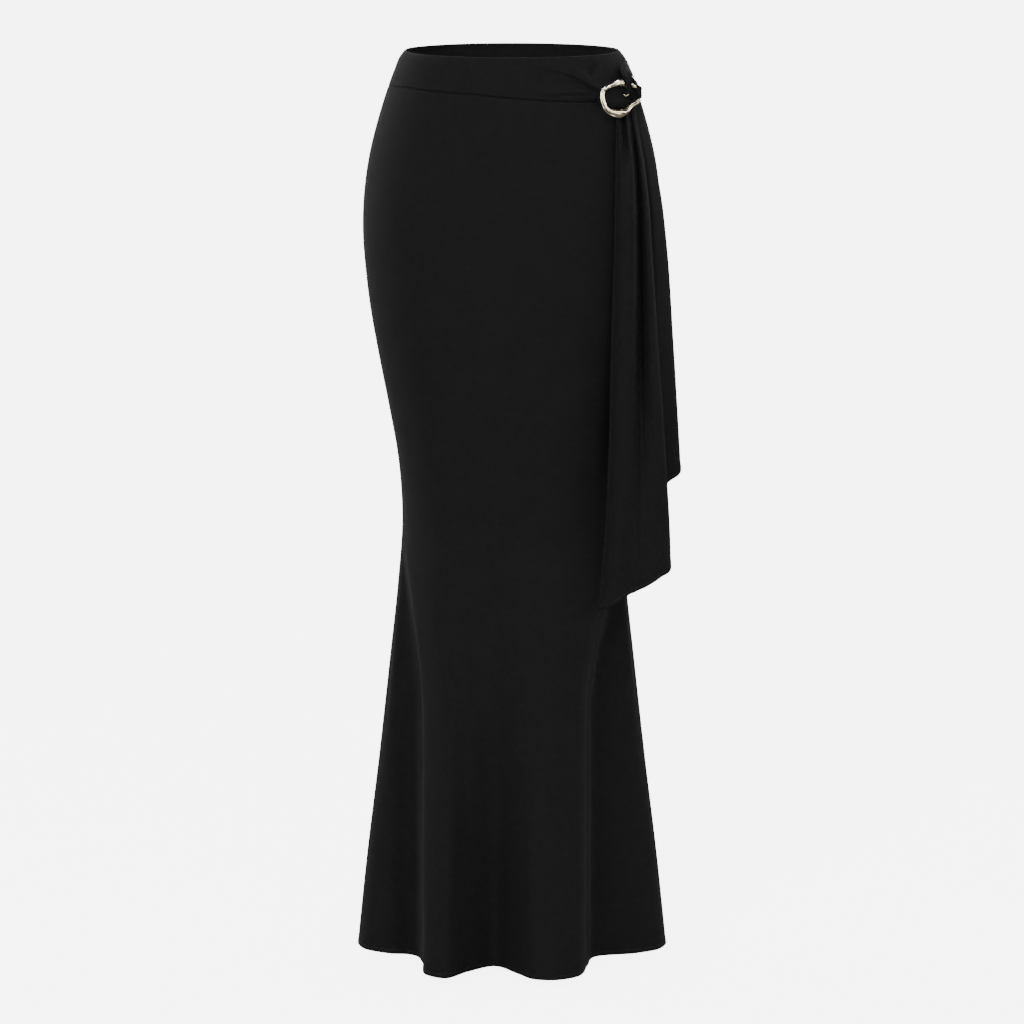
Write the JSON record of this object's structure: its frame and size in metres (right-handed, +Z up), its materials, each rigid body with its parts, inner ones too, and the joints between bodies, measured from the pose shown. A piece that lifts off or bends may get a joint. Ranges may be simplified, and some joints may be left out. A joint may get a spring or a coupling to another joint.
{
  "type": "mermaid fishtail skirt",
  "caption": "Full-length mermaid fishtail skirt in matte black crepe, close to the knee and flared into deep flutes below it, with a cascade drape held by a gold ring at the left hip",
  "frame": {"origin": "centre of the waist, where the wearer holds the skirt up, 23 mm below its upper edge", "axes": "+Z up along the garment's length, the front faces -Y, the wearer's left, with the ring, is +X"},
  "size_m": [0.3723, 0.3315, 1.0414],
  "materials": {
    "crepe": "matte black stretch crepe with a fine pebbled grain and a faint sheen at grazing angles",
    "gold": "pale gold plate, polished, on a smooth uneven casting"
  },
  "bodies": {
    "root": {"waistband_front": "crepe", "waistband_back": "crepe", "skirt_front": "crepe", "skirt_back": "crepe", "band_gather": "crepe", "ring_loop": "crepe", "ring_keeper": "crepe", "drape": "crepe", "buckle_ring": "gold", "buckle_hook": "gold"}
  },
  "joints": []
}
